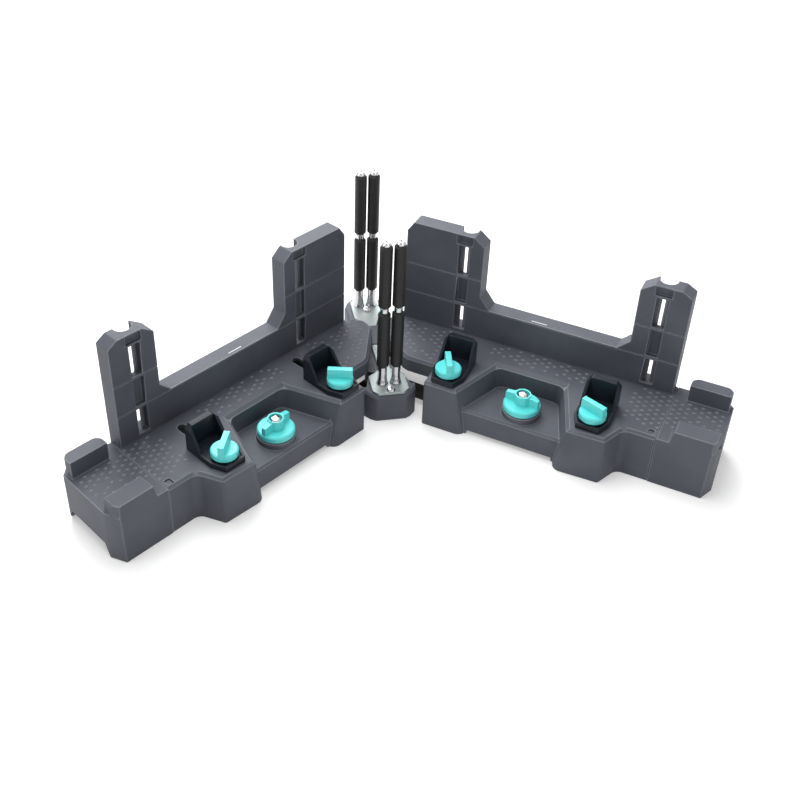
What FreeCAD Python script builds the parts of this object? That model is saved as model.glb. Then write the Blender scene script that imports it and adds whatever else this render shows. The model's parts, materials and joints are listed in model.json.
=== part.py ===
import FreeCAD, Part
import math
import os
import re
import Sketcher
from FreeCAD import Vector

# Miter box: two folding table wings on a centre base, four roller posts that guide the saw.
# Units are millimetres and degrees. +Z is up, +Y is the back of the box, and X=0 is the saw's plane.
# The origin is on the bench, where the two fence faces meet in plan.
# A wing has its own directions: "a" runs outward along the fence, "b" runs backward from the
# fence face. A wing swings about its pivot, and each wing is the mirror image of the other.
DIMENSIONS = {
    # Angles and the two pivots
    "swing": 36.4,
    "pivot_x": 16.0,
    "pivot_y": -32.0,
    "pivot_a": 31.9,
    "pivot_b": -16.3,
    # Clearances
    "running_gap": 0.05,
    "fixed_gap": 0.02,
    "face_gap": 0.3,
    # Wing deck
    "wall": 3.0,
    "deck_top": 50.0,
    "deck_inner": 98.0,
    "deck_outer": 308.5,
    "deck_back": 13.6,
    "deck_front": -67.0,
    "deck_bevel": 2.6,
    "tower_in_front": -88.0,
    "tower_out_front": -92.0,
    "tower_out_corner": 270.5,
    "tower_out_set_back": 1.5,
    "tower_out_foot": 280.5,
    "tower_corner_round": 3.0,
    "shelf_top": 27.0,
    "ledge_front": -82.5,
    "ledge_bevel": 2.0,
    "ledge_bottom": 4.0,
    "recess_in": 153.5,
    "recess_out": 212.0,
    "recess_back": -33.0,
    "recess_slope": 0.36,
    "recess_lean": 8.0,
    "recess_reach": 65.0,
    "shelf_bevel_wide": 4.2,
    # Nose of the deck, which reaches over the centre base to the pivot
    "nose_bottom": 34.0,
    "nose_heel_b": 3.5,
    "nose_tip_a": 21.0,
    "nose_tip_b": -12.0,
    "nose_cheek_a": 25.5,
    "nose_cheek_b": -27.5,
    "nose_front_a": 64.0,
    "nose_front_b": -58.5,
    "nose_shoulder_a": 69.5,
    "nose_front": -61.0,
    "nose_round": 8.0,
    # Underside of the deck
    "rib_bottom": 14.0,
    "rib_thick": 2.2,
    "rib_pitch": 27.0,
    "rib_first": 132.0,
    "rib_front": -30.0,
    "portal_front": -69.0,
    "portal_back": -43.5,
    "portal_top": 13.0,
    "spigot_radius": 6.0,
    "pivot_boss_radius": 9.0,
    # Clamp slots
    "slot_width": 8.0,
    "slot_back": -10.0,
    "slot_front": -81.0,
    "clamp_out": 252.5,
    "clamp_in": 115.5,
    "clamp_screw_b": -72.0,
    # Latch window of the end piece
    "latch_set_back": 8.3,
    "latch_b": -63.9,
    "latch_long": 5.3,
    "latch_wide": 7.0,
    # Fence
    "fence_thick": 16.5,
    "fence_inner": 37.4,
    "fence_outer": 306.0,
    "fence_top": 158.0,
    "fence_lip": 45.0,
    "fence_skin": 3.5,
    "bar_top": 83.2,
    "bar_in": 125.0,
    "bar_out": 249.3,
    "leg_in_side": 115.1,
    "leg_in_foot": 96.0,
    "leg_in_shoulder": 105.0,
    "leg_in_drop": 8.0,
    "leg_in_tip": 6.5,
    "leg_in_tip_drop": 9.5,
    "leg_out_side": 260.4,
    "leg_out_foot": 94.0,
    "leg_out_shoulder": 11.5,
    "leg_out_drop": 8.0,
    "leg_out_tip": 9.4,
    "leg_out_tip_drop": 5.5,
    "channel_in": 95.6,
    "channel_out": 281.0,
    "channel_radius": 8.0,
    "channel_b": 14.5,
    "channel_bottom": 53.5,
    "window_width": 10.6,
    "window_depth": 6.62,
    "closed_window_depth": 5.0,
    "top_window_width": 15.0,
    "top_window_depth": 3.5,
    "top_window_low": 148.0,
    "top_window_high": 156.3,
    "window_one_low": 115.0,
    "window_one_high": 146.0,
    "window_two_low": 84.0,
    "window_two_high": 112.0,
    "window_three_low": 54.0,
    "window_three_high": 80.5,
    "groove_high": 113.2,
    "groove_low": 82.0,
    "groove_deep": 0.5,
    "groove_tall": 0.9,
    "core_low": 54.0,
    "core_rib": 3.0,
    # End piece, with its places along the wing counted from the deck's open end
    "end_gap": 0.2,
    "end_outer": 52.5,
    "end_front": -67.5,
    "end_front_corner": 48.0,
    "end_side_flare": 1.5,
    "end_back_taper": 1.0,
    "end_side_corner": -53.0,
    "end_back_corner": 44.5,
    "end_back_side": 7.0,
    "back_block_in": 11.5,
    "back_block_out": 48.5,
    "back_block_front": -2.5,
    "back_block_back": 11.0,
    "back_block_top": 67.0,
    "back_block_corner": 4.5,
    "front_block_in": 14.0,
    "front_block_out": 51.5,
    "front_block_bevel": 1.5,
    "front_block_back": -50.0,
    "front_block_top": 62.5,
    "front_block_ramp": 3.0,
    "arch_back": 9.0,
    "arch_front": -53.0,
    "arch_slope": 6.0,
    "arch_top": 12.0,
    "plug_depth": 7.8,
    "plug_gap": 0.2,
    # Centre base
    "base_top": 29.5,
    "beam_bottom": 14.0,
    "beam_half": 9.0,
    "block_front": -120.3,
    "block_nose_half": 14.0,
    "block_cheek_half": 18.8,
    "block_cheek_y": -117.4,
    "block_half": 24.6,
    "block_half_y": -110.8,
    "block_foot_back": -104.0,
    "block_back": -90.0,
    "block_back_half": 17.5,
    "hub_half": 27.5,
    "hub_inner_half": 17.0,
    "hub_front": -41.5,
    "hub_back": -10.5,
    "hub_corner": 11.0,
    "hub_top": 33.0,
    "core_margin": 10.0,
    "rear_half": 21.0,
    "rear_front": 7.0,
    "rear_side_y": 31.0,
    "rear_cheek_half": 17.5,
    "rear_cheek_y": 40.0,
    "rear_tail_half": 13.0,
    "rear_back": 45.5,
    "block_bevel": 2.6,
    "post_boss_radius": 5.6,
    "screw_boss_radius": 4.0,
    # Plates
    "plate_thick": 2.5,
    "front_plate_half": 17.3,
    "front_plate_back": -91.0,
    "front_plate_side": -114.0,
    "front_plate_nose_half": 12.3,
    "front_plate_front": -119.0,
    "tongue_half": 5.5,
    "tongue_root": -82.0,
    "tongue_end": -42.0,
    "front_plate_corner": 6.0,
    "front_plate_shoulder": -87.0,
    "rear_plate_half": 14.5,
    "rear_plate_back": 39.5,
    "rear_plate_corner": 4.0,
    "rear_plate_front": 6.5,
    "rear_plate_neck": 8.0,
    "rear_plate_neck_y": 0.0,
    "rear_plate_tip": 4.5,
    "rear_plate_tip_y": -10.0,
    "front_screw_y": -114.4,
    "rear_screw_y": 19.0,
    "plate_screw_radius": 1.75,
    "plate_head_radius": 4.2,
    "plate_head_tall": 2.0,
    "plate_screw_long": 14.0,
    # Posts, rollers and what holds them
    "saw_gap": 1.2,
    "front_post_y": -103.2,
    "rear_post_y": 28.2,
    "post_flare_radius": 5.6,
    "post_flare_tall": 0.8,
    "post_waist_radius": 4.8,
    "post_waist_tall": 3.0,
    "post_cone_tall": 9.0,
    "post_radius": 4.2,
    "post_shoulder": 52.0,
    "post_spindle_radius": 3.0,
    "post_top": 183.0,
    "post_tail": 10.0,
    "roller_radius": 5.8,
    "roller_gap": 0.15,
    "roller_bevel": 2.0,
    "collar_bottom": 113.0,
    "collar_tall": 5.0,
    "collar_radius": 3.9,
    "collar_bevel": 0.4,
    "cap_radius": 4.3,
    "cap_tall": 3.4,
    "cap_screw_radius": 1.75,
    "cap_screw_long": 12.0,
    "cross_deep": 1.8,
    "cross_wide": 1.1,
    "tool_gap": 1.0,
    # Stay arms
    "stay_x": 10.0,
    "stay_y": -73.0,
    "arm_bottom": 6.0,
    "arm_thick": 5.0,
    "arm_half": 8.0,
    "arm_slot_half": 5.45,
    "arm_slot_near": 127.5,
    "arm_slot_far": 162.0,
    "arm_hub_radius": 4.0,
    "stay_boss_radius": 7.5,
    "stay_head_radius": 6.5,
    "stay_head_tall": 3.4,
    "stay_screw_radius": 2.5,
    "stay_screw_long": 12.5,
    "arm_end": 2.0,
    "pivot_head_radius": 8.0,
    "pivot_head_tall": 3.0,
    "bevel": 0.6,
    # Lock
    "lock_a": 185.5,
    "lock_b": -61.5,
    "lock_ring_radius": 18.0,
    "lock_ring_tall": 6.0,
    "lock_boss_radius": 9.0,
    "lock_disc_radius": 17.0,
    "lock_disc_tall": 6.0,
    "lock_disc_bevel": 1.2,
    "lock_hub_radius": 7.5,
    "lock_hub_tall": 16.0,
    "lock_grip_half": 2.6,
    "lock_grip_tip_half": 2.0,
    "lock_grip_tip_drop": 1.5,
    "lock_grip_long": 32.0,
    "lock_grip_tall": 15.0,
    "lock_grip_turn": -5.0,
    "lock_bolt_radius": 3.0,
    "lock_head_radius": 4.9,
    "lock_well_radius": 6.0,
    "lock_head_deep": 3.4,
    "lock_head_tall": 3.8,
    "lock_head_rim": 2.2,
    "lock_bolt_end": 1.0,
    "lock_nut_half": 7.5,
    "lock_nut_bottom": 1.5,
    # Clamps
    "jaw_half": 15.0,
    "jaw_foot_half": 16.0,
    "jaw_back": 33.0,
    "jaw_waist": 0.0,
    "jaw_elbow": 12.0,
    "jaw_front": -14.0,
    "jaw_front_half": 10.5,
    "jaw_floor": 4.0,
    "jaw_tall": 27.0,
    "jaw_plate": 6.0,
    "jaw_side": 2.8,
    "jaw_rim": 5.5,
    "jaw_slope_foot": 13.0,
    "jaw_corner": 4.0,
    "jaw_pad_radius": 10.0,
    "jaw_pad_tall": 1.6,
    "key_gap": 0.15,
    "key_front": -5.0,
    "key_back": 23.5,
    "key_deep": 2.6,
    "knob_radius": 12.0,
    "knob_tall": 6.5,
    "knob_bevel": 1.2,
    "knob_bore_deep": 5.2,
    "right_outer_grip_turn": -20.0,
    "left_outer_grip_turn": -35.5,
    "right_inner_grip_turn": 118.0,
    "left_inner_grip_turn": 49.0,
    "knob_rise": 0.3,
    "knob_grip_half": 2.8,
    "knob_grip_tall": 15.8,
    "knob_grip_long": 23.0,
    "bolt_radius": 2.5,
    "bolt_foot": 9.0,
    "nut_half": 7.0,
    "nut_tall": 4.0,
    # Fence screws
    "fence_screw_b": 6.0,
    "fence_screw_radius": 2.0,
    "fence_head_radius": 3.9,
    "fence_head_tall": 2.8,
    "fence_screw_long": 15.0,
    "fence_boss_half": 5.0,
}
FENCE_SCREWS_A = {"fence_screw_one": 64.0, "fence_screw_two": 147.0, "fence_screw_three": 228.0,
                  "fence_screw_four": 295.6}

POST_X = "roller_radius + saw_gap / 2"
LATCH_A = "deck_outer - latch_set_back"
BEAM_CORES = [("block_back", "stay_y - core_margin"), ("stay_y + core_margin", "hub_front - wall"),
              ("hub_back + wall", "rear_front - wall")]
RIBS = 4

doc = FreeCAD.newDocument("MiterBox")
sheet = doc.addObject("Spreadsheet::Sheet", "dims")
SIZES = {**DIMENSIONS, **FENCE_SCREWS_A}
for row, (alias, size) in enumerate(SIZES.items(), start=1):
    sheet.set(f"A{row}", alias)
    sheet.set(f"B{row}", str(size))
    sheet.setAlias(f"B{row}", alias)
doc.recompute()
nodes = []


def formula(text):
    """Turn the plain names of a formula into references to the sheet's cells."""
    def cell(word):
        return "dims." + word.group() if word.group() in SIZES else word.group()
    return re.sub(r"[a-z_]+", cell, text)


def value(text):
    """Work a formula out with the sheet's present sizes."""
    return float(sheet.evalExpression(formula(text)))


def settle(feature):
    """Work the model out again, and stop if the feature came out broken."""
    doc.recompute()
    broken = {"Invalid", "Error"} & set(feature.State)
    if broken or feature.Shape.isNull() or not feature.Shape.isValid():
        raise RuntimeError(f"{feature.Name} is broken: {feature.State} {feature.getStatusString()}")
    return feature


def new_body(name):
    body = doc.addObject("PartDesign::Body", name)
    body.Label = name
    return body


def origin_feature(body, role):
    return next(item for item in body.Origin.OriginFeatures if item.Role == role)


def new_sketch(body, name, plane, height):
    """Start a sketch on one of the body's own origin planes, lifted along the plane's normal."""
    sketch = body.newObject("Sketcher::SketchObject", f"{body.Name}_{name}_sketch")
    sketch.AttachmentSupport = [(origin_feature(body, plane), "")]
    sketch.MapMode = "FlatFace"
    sketch.setExpression("AttachmentOffset.Base.z", formula(height))
    return sketch


def pin(sketch, geometry, vertex, x, y):
    """Hold a point of the sketch at a place given by two formulas."""
    for kind, axis, text in (("DistanceX", -2, x), ("DistanceY", -1, y)):
        size = value(text)
        if abs(size) < 1e-9:
            sketch.addConstraint(Sketcher.Constraint("PointOnObject", geometry, vertex, axis))
            continue
        index = sketch.addConstraint(Sketcher.Constraint(kind, -1, 1, geometry, vertex, size))
        sketch.setExpression(f"Constraints[{index}]", formula(text))


def add_outline(sketch, corners):
    """Draw a closed outline of straight lines through corners given as pairs of formulas."""
    first = sketch.GeometryCount
    points = [Vector(value(x), value(y), 0) for x, y in corners]
    count = len(points)
    for i in range(count):
        sketch.addGeometry(Part.LineSegment(points[i], points[(i + 1) % count]))
    for i in range(count):
        sketch.addConstraint(Sketcher.Constraint("Coincident", first + i, 2, first + (i + 1) % count, 1))
    for i, (x, y) in enumerate(corners):
        pin(sketch, first + i, 1, x, y)


def add_circle(sketch, x, y, radius):
    index = sketch.addGeometry(Part.Circle(Vector(value(x), value(y), 0), Vector(0, 0, 1), value(radius)))
    pin(sketch, index, 3, x, y)
    size = sketch.addConstraint(Sketcher.Constraint("Radius", index, value(radius)))
    sketch.setExpression(f"Constraints[{size}]", formula(radius))


def add_slot(sketch, near, far, half):
    """Draw a slot with round ends between two points, each a pair of formulas, along the sketch's Y."""
    (x, low), (_, high) = near, far
    add = sketch.addGeometry
    up = Vector(0, 0, 1)
    centre, r = value(x), value(half)
    y_low, y_high = value(low), value(high)
    far_circle = Part.Circle(Vector(centre, y_high, 0), up, r)
    near_circle = Part.Circle(Vector(centre, y_low, 0), up, r)
    top = add(Part.ArcOfCircle(far_circle, 0, math.pi))
    left = add(Part.LineSegment(Vector(centre - r, y_high, 0), Vector(centre - r, y_low, 0)))
    base = add(Part.ArcOfCircle(near_circle, math.pi, 2 * math.pi))
    right = add(Part.LineSegment(Vector(centre + r, y_low, 0), Vector(centre + r, y_high, 0)))
    for one, two in ((top, left), (left, base), (base, right), (right, top)):
        sketch.addConstraint(Sketcher.Constraint("Tangent", one, 2, two, 1))
    pin(sketch, top, 3, x, high)
    pin(sketch, base, 3, x, low)
    size = sketch.addConstraint(Sketcher.Constraint("Radius", top, r))
    sketch.setExpression(f"Constraints[{size}]", formula(half))


def extrude(body, sketch, length, cutting=False):
    """Pad the sketch, or cut with it, along its plane's normal, and prove that the volume changed."""
    doc.recompute()
    before = body.Shape.Volume if body.Tip else 0.0
    kind = "Pocket" if cutting else "Pad"
    feature = body.newObject(f"PartDesign::{kind}", sketch.Name.replace("_sketch", f"_{kind.lower()}"))
    feature.Profile = sketch
    feature.Reversed = cutting
    feature.setExpression("Length", formula(length))
    sketch.Visibility = False
    after = settle(feature).Shape.Volume
    if (cutting and after > before - 0.01) or (not cutting and after < before + 0.01):
        raise RuntimeError(f"{feature.Name} changed nothing: {before:.2f} to {after:.2f}")
    return feature


def block(body, name, corners, low, high, plane="XY_Plane", cutting=False):
    """One straight-sided outline, padded or cut from one height to another."""
    sketch = new_sketch(body, name, plane, low)
    add_outline(sketch, corners)
    return extrude(body, sketch, f"({high}) - ({low})", cutting)


def rods(body, name, places, radius, low, high, plane="XY_Plane", cutting=False):
    """Round bosses or bores at several places, from one height to another."""
    sketch = new_sketch(body, name, plane, low)
    for x, y in places:
        add_circle(sketch, x, y, radius)
    return extrude(body, sketch, f"({high}) - ({low})", cutting)


def turn(body, name, profile):
    """Turn a closed profile of (radius, height) corners about the body's Z axis."""
    sketch = new_sketch(body, name, "XZ_Plane", "0")
    add_outline(sketch, profile)
    feature = body.newObject("PartDesign::Revolution", f"{body.Name}_{name}_turned")
    feature.Profile = sketch
    feature.ReferenceAxis = (sketch, ["V_Axis"])
    feature.Angle = 360
    sketch.Visibility = False
    return settle(feature)


def dress(body, kind, name, size, chosen):
    """Round ("Fillet") or bevel ("Chamfer") the edges of the tip that a test picks out."""
    names = [f"Edge{i}" for i, edge in enumerate(body.Shape.Edges, start=1) if chosen(edge)]
    if not names:
        raise RuntimeError(f"{body.Name} {name}: no edge was picked")
    base = body.Tip
    feature = body.newObject(f"PartDesign::{kind}", f"{body.Name}_{name}")
    feature.Base = (base, names)
    feature.setExpression("Radius" if kind == "Fillet" else "Size", formula(size))
    return settle(feature)


def middle(edge):
    return edge.valueAt((edge.FirstParameter + edge.LastParameter) / 2)


def near(number, text):
    return abs(number - value(text)) < 0.01


def upright(edge):
    """A straight edge that runs up and down."""
    return abs(edge.BoundBox.XLength) + abs(edge.BoundBox.YLength) < 0.01


def upright_at(*places):
    """A test for upright edges that stand at any of the places, each a pair of formulas."""
    def chosen(edge):
        point = middle(edge)
        return upright(edge) and any(near(point.x, x) and near(point.y, y) for x, y in places)
    return chosen


def shell(body, thickness, open_faces):
    """Hollow the body to a wall of one thickness, leaving out the faces that a test picks."""
    names = [f"Face{i}" for i, face in enumerate(body.Shape.Faces, start=1) if open_faces(face)]
    base = body.Tip
    before = base.Shape.Volume
    feature = body.newObject("PartDesign::Thickness", f"{body.Name}_shell")
    feature.Base = (base, names)
    feature.setExpression("Value", formula(thickness))
    feature.Mode = 0
    feature.Join = 1
    feature.Reversed = True
    if settle(feature).Shape.Volume > 0.9 * before:
        raise RuntimeError(f"{body.Name} was not hollowed")
    return feature


def facing(face, x, y, z):
    """Whether a flat face looks along the direction given."""
    return isinstance(face.Surface, Part.Plane) and face.normalAt(0, 0).dot(Vector(x, y, z)) > 0.999


def wing_point(a, b):
    """World x and y of a place on the right wing."""
    x = f"pivot_x + (({a}) - pivot_a) * cos(swing) + (({b}) - pivot_b) * sin(swing)"
    y = f"pivot_y - (({a}) - pivot_a) * sin(swing) + (({b}) - pivot_b) * cos(swing)"
    return x, y


def put(item, x="0", y="0", z="0", turned="0"):
    """Bind the placement of a sub-part."""
    spot = f"placement(vector({x}; {y}; {z}); rotation(vector(0; 0; 1); {turned}))"
    item.setExpression("Placement", formula(spot))


def put_on_wing(item, a="0", b="0", z="0", turned="0"):
    x, y = wing_point(a, b)
    put(item, x, y, z, f"({turned}) - swing")


def keep(item):
    """Count a finished sub-part among the nodes."""
    nodes.append(item)
    return item


def keep_pair(right):
    """Keep a right-hand sub-part and its mirror image on the left-hand side."""
    keep(right)
    left = doc.addObject("Part::Mirroring", right.Name.replace("right", "left"))
    left.Label = right.Label.replace("right", "left")
    left.Source = right
    left.Normal = Vector(1, 0, 0)
    keep(left)
    return left


def group(name, items):
    """Join loose like solids, such as a set of screws, under one name."""
    joined = doc.addObject("Part::Compound", name)
    joined.Label = name
    joined.Links = items
    return joined


# Wing deck: one hollow moulding with a nose over the centre base, two clamp towers and a shelf
def recess_line(side, b):
    """Where the side wall of the shelf's recess stands at b."""
    sign = "-" if side == "in" else "+"
    return f"recess_{side} {sign} recess_slope * (recess_back - ({b}))"


def is_recess_side(face):
    normal = face.normalAt(0, 0)
    box = face.BoundBox
    if abs(normal.x) < 0.5 or abs(abs(normal.y / normal.x) - value("recess_slope")) > 0.001:
        return False
    return near(box.ZMax, "deck_top") and box.YMin > value("tower_out_front") - 0.01 and box.YMax < 0


def wing_deck():
    body = new_body("right_wing_deck")
    tower_out_back = "tower_out_front + tower_out_set_back"
    block(body, "floor", [
        ("deck_inner", "deck_back"), ("deck_inner", "tower_in_front"),
        (recess_line("in", "tower_in_front"), "tower_in_front"),
        (recess_line("in", "ledge_front"), "ledge_front"),
        (recess_line("out", "ledge_front"), "ledge_front"),
        (recess_line("out", "tower_out_front"), "tower_out_front"),
        ("tower_out_corner", tower_out_back), ("tower_out_foot", "deck_front"),
        ("deck_outer", "deck_front"), ("deck_outer", "deck_back")], "0", "deck_top")
    front = "recess_back - recess_reach"
    block(body, "recess", [
        (recess_line("in", "recess_back"), "recess_back"),
        (recess_line("out", "recess_back"), "recess_back"),
        (recess_line("out", front), front), (recess_line("in", front), front)],
        "shelf_top", "deck_top", cutting=True)
    draft = body.newObject("PartDesign::Draft", "right_wing_deck_draft")
    base = doc.getObject("right_wing_deck_recess_pocket")
    faces = {f"Face{i}": face for i, face in enumerate(base.Shape.Faces, start=1)}
    lean = [name for name, face in faces.items() if is_recess_side(face)]
    shelf = next(name for name, face in faces.items()
                 if facing(face, 0, 0, 1) and near(face.BoundBox.ZMax, "shelf_top"))
    draft.Base = (base, lean)
    draft.NeutralPlane = (base, [shelf])
    draft.setExpression("Angle", formula("recess_lean"))
    draft.Reversed = False
    settle(draft)
    shell(body, "wall", lambda face: facing(face, 0, 0, -1) or facing(face, 1, 0, 0)
          and near(face.BoundBox.XMax, "deck_outer"))
    dress(body, "Fillet", "tower_round", "tower_corner_round",
          upright_at(("tower_out_corner", tower_out_back), ("deck_inner", "tower_in_front")))
    in_wall = "deck_inner + wall / 2"
    block(body, "nose", [
        (in_wall, "deck_back"), ("fence_inner", "deck_back"), ("fence_inner", "nose_heel_b"),
        ("nose_tip_a", "nose_tip_b"), ("nose_cheek_a", "nose_cheek_b"), ("nose_front_a", "nose_front_b"),
        ("nose_shoulder_a", "nose_front"), (in_wall, "nose_front")], "nose_bottom", "deck_top")
    dress(body, "Fillet", "nose_round", "nose_round",
          upright_at(("nose_tip_a", "nose_tip_b"), ("nose_cheek_a", "nose_cheek_b")))

    def rim_edge(edge):
        rim = edge.BoundBox
        on_top = near(rim.ZMin, "deck_top") and near(rim.ZMax, "deck_top")
        at_end = near(rim.XMin, "deck_outer")
        under_fence = rim.YMin > value("nose_heel_b") - 0.01
        at_shelf = near(rim.YMin, "recess_back") and near(rim.YMax, "recess_back")
        return on_top and not at_end and not under_fence and not at_shelf
    dress(body, "Chamfer", "rim_bevel", "deck_bevel", rim_edge)
    block(body, "shelf_bevel", [
        ("recess_back", "deck_top - deck_bevel"), ("recess_back + shelf_bevel_wide", "deck_top"),
        ("recess_back", "deck_top")], "recess_in - 2 * wall", "recess_out + 2 * wall",
        plane="YZ_Plane", cutting=True)
    block(body, "ledge_bevel", [
        ("ledge_front", "shelf_top - ledge_bevel"), ("ledge_front - wall", "shelf_top - ledge_bevel"),
        ("ledge_front - wall", "shelf_top + wall"), ("ledge_front + ledge_bevel", "shelf_top + wall"),
        ("ledge_front + ledge_bevel", "shelf_top")], recess_line("in", "ledge_front"),
        recess_line("out", "ledge_front"), plane="YZ_Plane", cutting=True)
    block(body, "ledge_relief", [
        ("ledge_front - wall", "0"), ("ledge_front + 2 * wall", "0"),
        ("ledge_front + 2 * wall", "ledge_bottom"),
        ("ledge_front - wall", "ledge_bottom")], recess_line("in", "ledge_front") + " + 2 * wall",
        recess_line("out", "ledge_front") + " - 2 * wall", plane="YZ_Plane", cutting=True)
    block(body, "nose_hollow", [
        ("deck_inner", "deck_back - wall"), ("fence_inner + wall", "deck_back - wall"),
        ("fence_inner + wall", "nose_heel_b - 0.4 * wall"),
        ("nose_tip_a + 1.1 * wall", "nose_tip_b - 0.35 * wall"),
        ("nose_cheek_a + 1.05 * wall", "nose_cheek_b + 0.55 * wall"),
        ("nose_front_a + 0.5 * wall", "nose_front_b + 0.9 * wall"),
        ("nose_shoulder_a + 0.2 * wall", "nose_front + wall"), ("deck_inner", "nose_front + wall")],
        "nose_bottom", "deck_top - wall", cutting=True)
    inside = "deck_top - wall / 2"
    rods(body, "pivot_boss", [("pivot_a", "pivot_b")], "pivot_boss_radius", "hub_top + face_gap", inside)
    rods(body, "spigot", [("pivot_a", "pivot_b")], "spigot_radius", "beam_bottom - face_gap",
         "hub_top + 2 * face_gap")
    rods(body, "spigot_bore", [("pivot_a", "pivot_b")], "bolt_radius + fixed_gap", "beam_bottom - face_gap",
         "nose_bottom", cutting=True)
    rib_back = "deck_back - wall / 2"
    for count in range(RIBS):
        near_side = f"rib_first + {count} * rib_pitch"
        far_side = f"{near_side} + rib_thick"
        block(body, f"rib{count}", [(near_side, rib_back), (far_side, rib_back), (far_side, "rib_front"),
                                    (near_side, "rib_front")], "rib_bottom", inside)
    block(body, "portal", [("portal_front", "0"), ("portal_back", "0"), ("portal_back", "portal_top"),
                           ("portal_front", "portal_top")],
          "deck_inner - tool_gap", "deck_inner + wall + tool_gap", plane="YZ_Plane", cutting=True)
    for name in ("clamp_in", "clamp_out"):
        slot = new_sketch(body, name + "_slot", "XY_Plane", "deck_top - 2 * wall")
        half = "slot_width / 2"
        add_slot(slot, (name, f"slot_front + {half}"), (name, f"slot_back - {half}"), half)
        extrude(body, slot, "3 * wall", cutting=True)
    block(body, "latch", [
        (LATCH_A, "latch_b"), (f"{LATCH_A} + latch_long", "latch_b"),
        (f"{LATCH_A} + latch_long", "latch_b + latch_wide"), (LATCH_A, "latch_b + latch_wide")],
        "deck_top - 2 * wall", "deck_top + wall", cutting=True)
    lock = [("lock_a", "lock_b")]
    rods(body, "lock_ring", lock, "lock_ring_radius", "shelf_top - wall / 2", "shelf_top + lock_ring_tall")
    rods(body, "lock_boss", lock, "lock_boss_radius", "arm_bottom + arm_thick + face_gap",
         "shelf_top - wall / 2")
    rods(body, "lock_bore", lock, "lock_bolt_radius + running_gap", "0", "deck_top", cutting=True)
    rods(body, "fence_holes", [(name, "fence_screw_b") for name in FENCE_SCREWS_A],
         "fence_screw_radius + fixed_gap", "deck_top - 2 * wall", "deck_top + wall", cutting=True)
    return body


# Fence: an upright U-shaped moulding, cored from behind, with a window column in each leg
def fence():
    body = new_body("right_fence")
    block(body, "profile", [
        ("fence_inner", "deck_top"), ("fence_inner", "fence_top - leg_in_tip_drop"),
        ("fence_inner + leg_in_tip", "fence_top"), ("leg_in_shoulder", "fence_top"),
        ("leg_in_side", "fence_top - leg_in_drop"), ("leg_in_side", "leg_in_foot"), ("bar_in", "bar_top"),
        ("bar_out", "bar_top"), ("leg_out_side", "leg_out_foot"),
        ("leg_out_side", "fence_top - leg_out_drop"),
        ("leg_out_side + leg_out_shoulder", "fence_top"), ("fence_outer - leg_out_tip", "fence_top"),
        ("fence_outer", "fence_top - leg_out_tip_drop"), ("fence_outer", "deck_top")],
        "-fence_thick", "0", plane="XZ_Plane")
    block(body, "lip", [("fence_inner", "fence_lip"), ("fence_inner", "deck_top + wall"),
                        ("fence_outer", "deck_top + wall"), ("fence_outer", "fence_lip")],
          "-fence_thick", "-deck_back - face_gap", plane="XZ_Plane")
    for name in ("channel_in", "channel_out"):
        rods(body, name, [(name, "channel_b")], "channel_radius", "channel_bottom", "fence_top + wall",
             cutting=True)
        windows = [(count, "window_width / 2", f"window_{count}") for count in ("one", "two", "three")]
        windows.append(("top", "top_window_width / 2", "top_window"))
        depths = {"one": "window_depth", "two": "closed_window_depth", "three": "window_depth",
                  "top": "top_window_depth"}
        for count, half, level in windows:
            start, end, low, high = f"{name} - {half}", f"{name} + {half}", f"{level}_low", f"{level}_high"
            block(body, f"{name}_{count}", [(start, low), (end, low), (end, high), (start, high)],
                  f"-{depths[count]}", "wall", plane="XZ_Plane", cutting=True)
    for name, far in (("groove_high", "leg_in_side + wall"), ("groove_low", "fence_outer + wall")):
        spans = [("fence_inner - wall", far)]
        if name == "groove_high":
            spans.append(("leg_out_side - wall", "fence_outer + wall"))
        for count, (start, end) in enumerate(spans):
            block(body, f"{name}{count}", [(start, name), (end, name), (end, f"{name} + groove_tall"),
                                           (start, f"{name} + groove_tall")],
                  "-groove_deep", "wall", plane="XZ_Plane", cutting=True)
    cells = []
    one, two, three, _ = FENCE_SCREWS_A
    for low, high in (("core_low", "groove_low - core_rib / 2"),
                      ("groove_low + core_rib", "groove_high - core_rib / 2"),
                      ("groove_high + core_rib", "fence_top - leg_in_tip_drop - core_rib")):
        cells.append(("fence_inner + core_rib", f"{one} - fence_boss_half", low, high))
        cells.append((f"{one} + fence_boss_half", "channel_in - channel_radius - core_rib", low, high))
    bar_high = "bar_top - core_rib"
    cells.append(("leg_in_side + core_rib", f"{two} - fence_boss_half", "core_low", bar_high))
    cells.append((f"{two} + fence_boss_half", f"({two} + {three} - core_rib) / 2", "core_low", bar_high))
    cells.append((f"({two} + {three} + core_rib) / 2", f"{three} - fence_boss_half", "core_low", bar_high))
    cells.append((f"{three} + fence_boss_half", "leg_out_side", "core_low", bar_high))
    sketch = new_sketch(body, "cores", "XZ_Plane", "-fence_thick - wall")
    for start, end, low, high in cells:
        add_outline(sketch, [(start, low), (end, low), (end, high), (start, high)])
    extrude(body, sketch, "fence_thick + wall - fence_skin", cutting=True)
    rods(body, "pilot_holes", [(name, "fence_screw_b") for name in FENCE_SCREWS_A],
         "fence_screw_radius + fixed_gap", "fence_lip", "deck_top + fence_screw_long - wall", cutting=True)
    return body


# End piece: a hollow cap clipped into the open end of the deck by a plug and a latch
def past_deck(place):
    """A place along the end piece, which is counted from the deck's open end."""
    return f"deck_outer + {place}"


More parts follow.
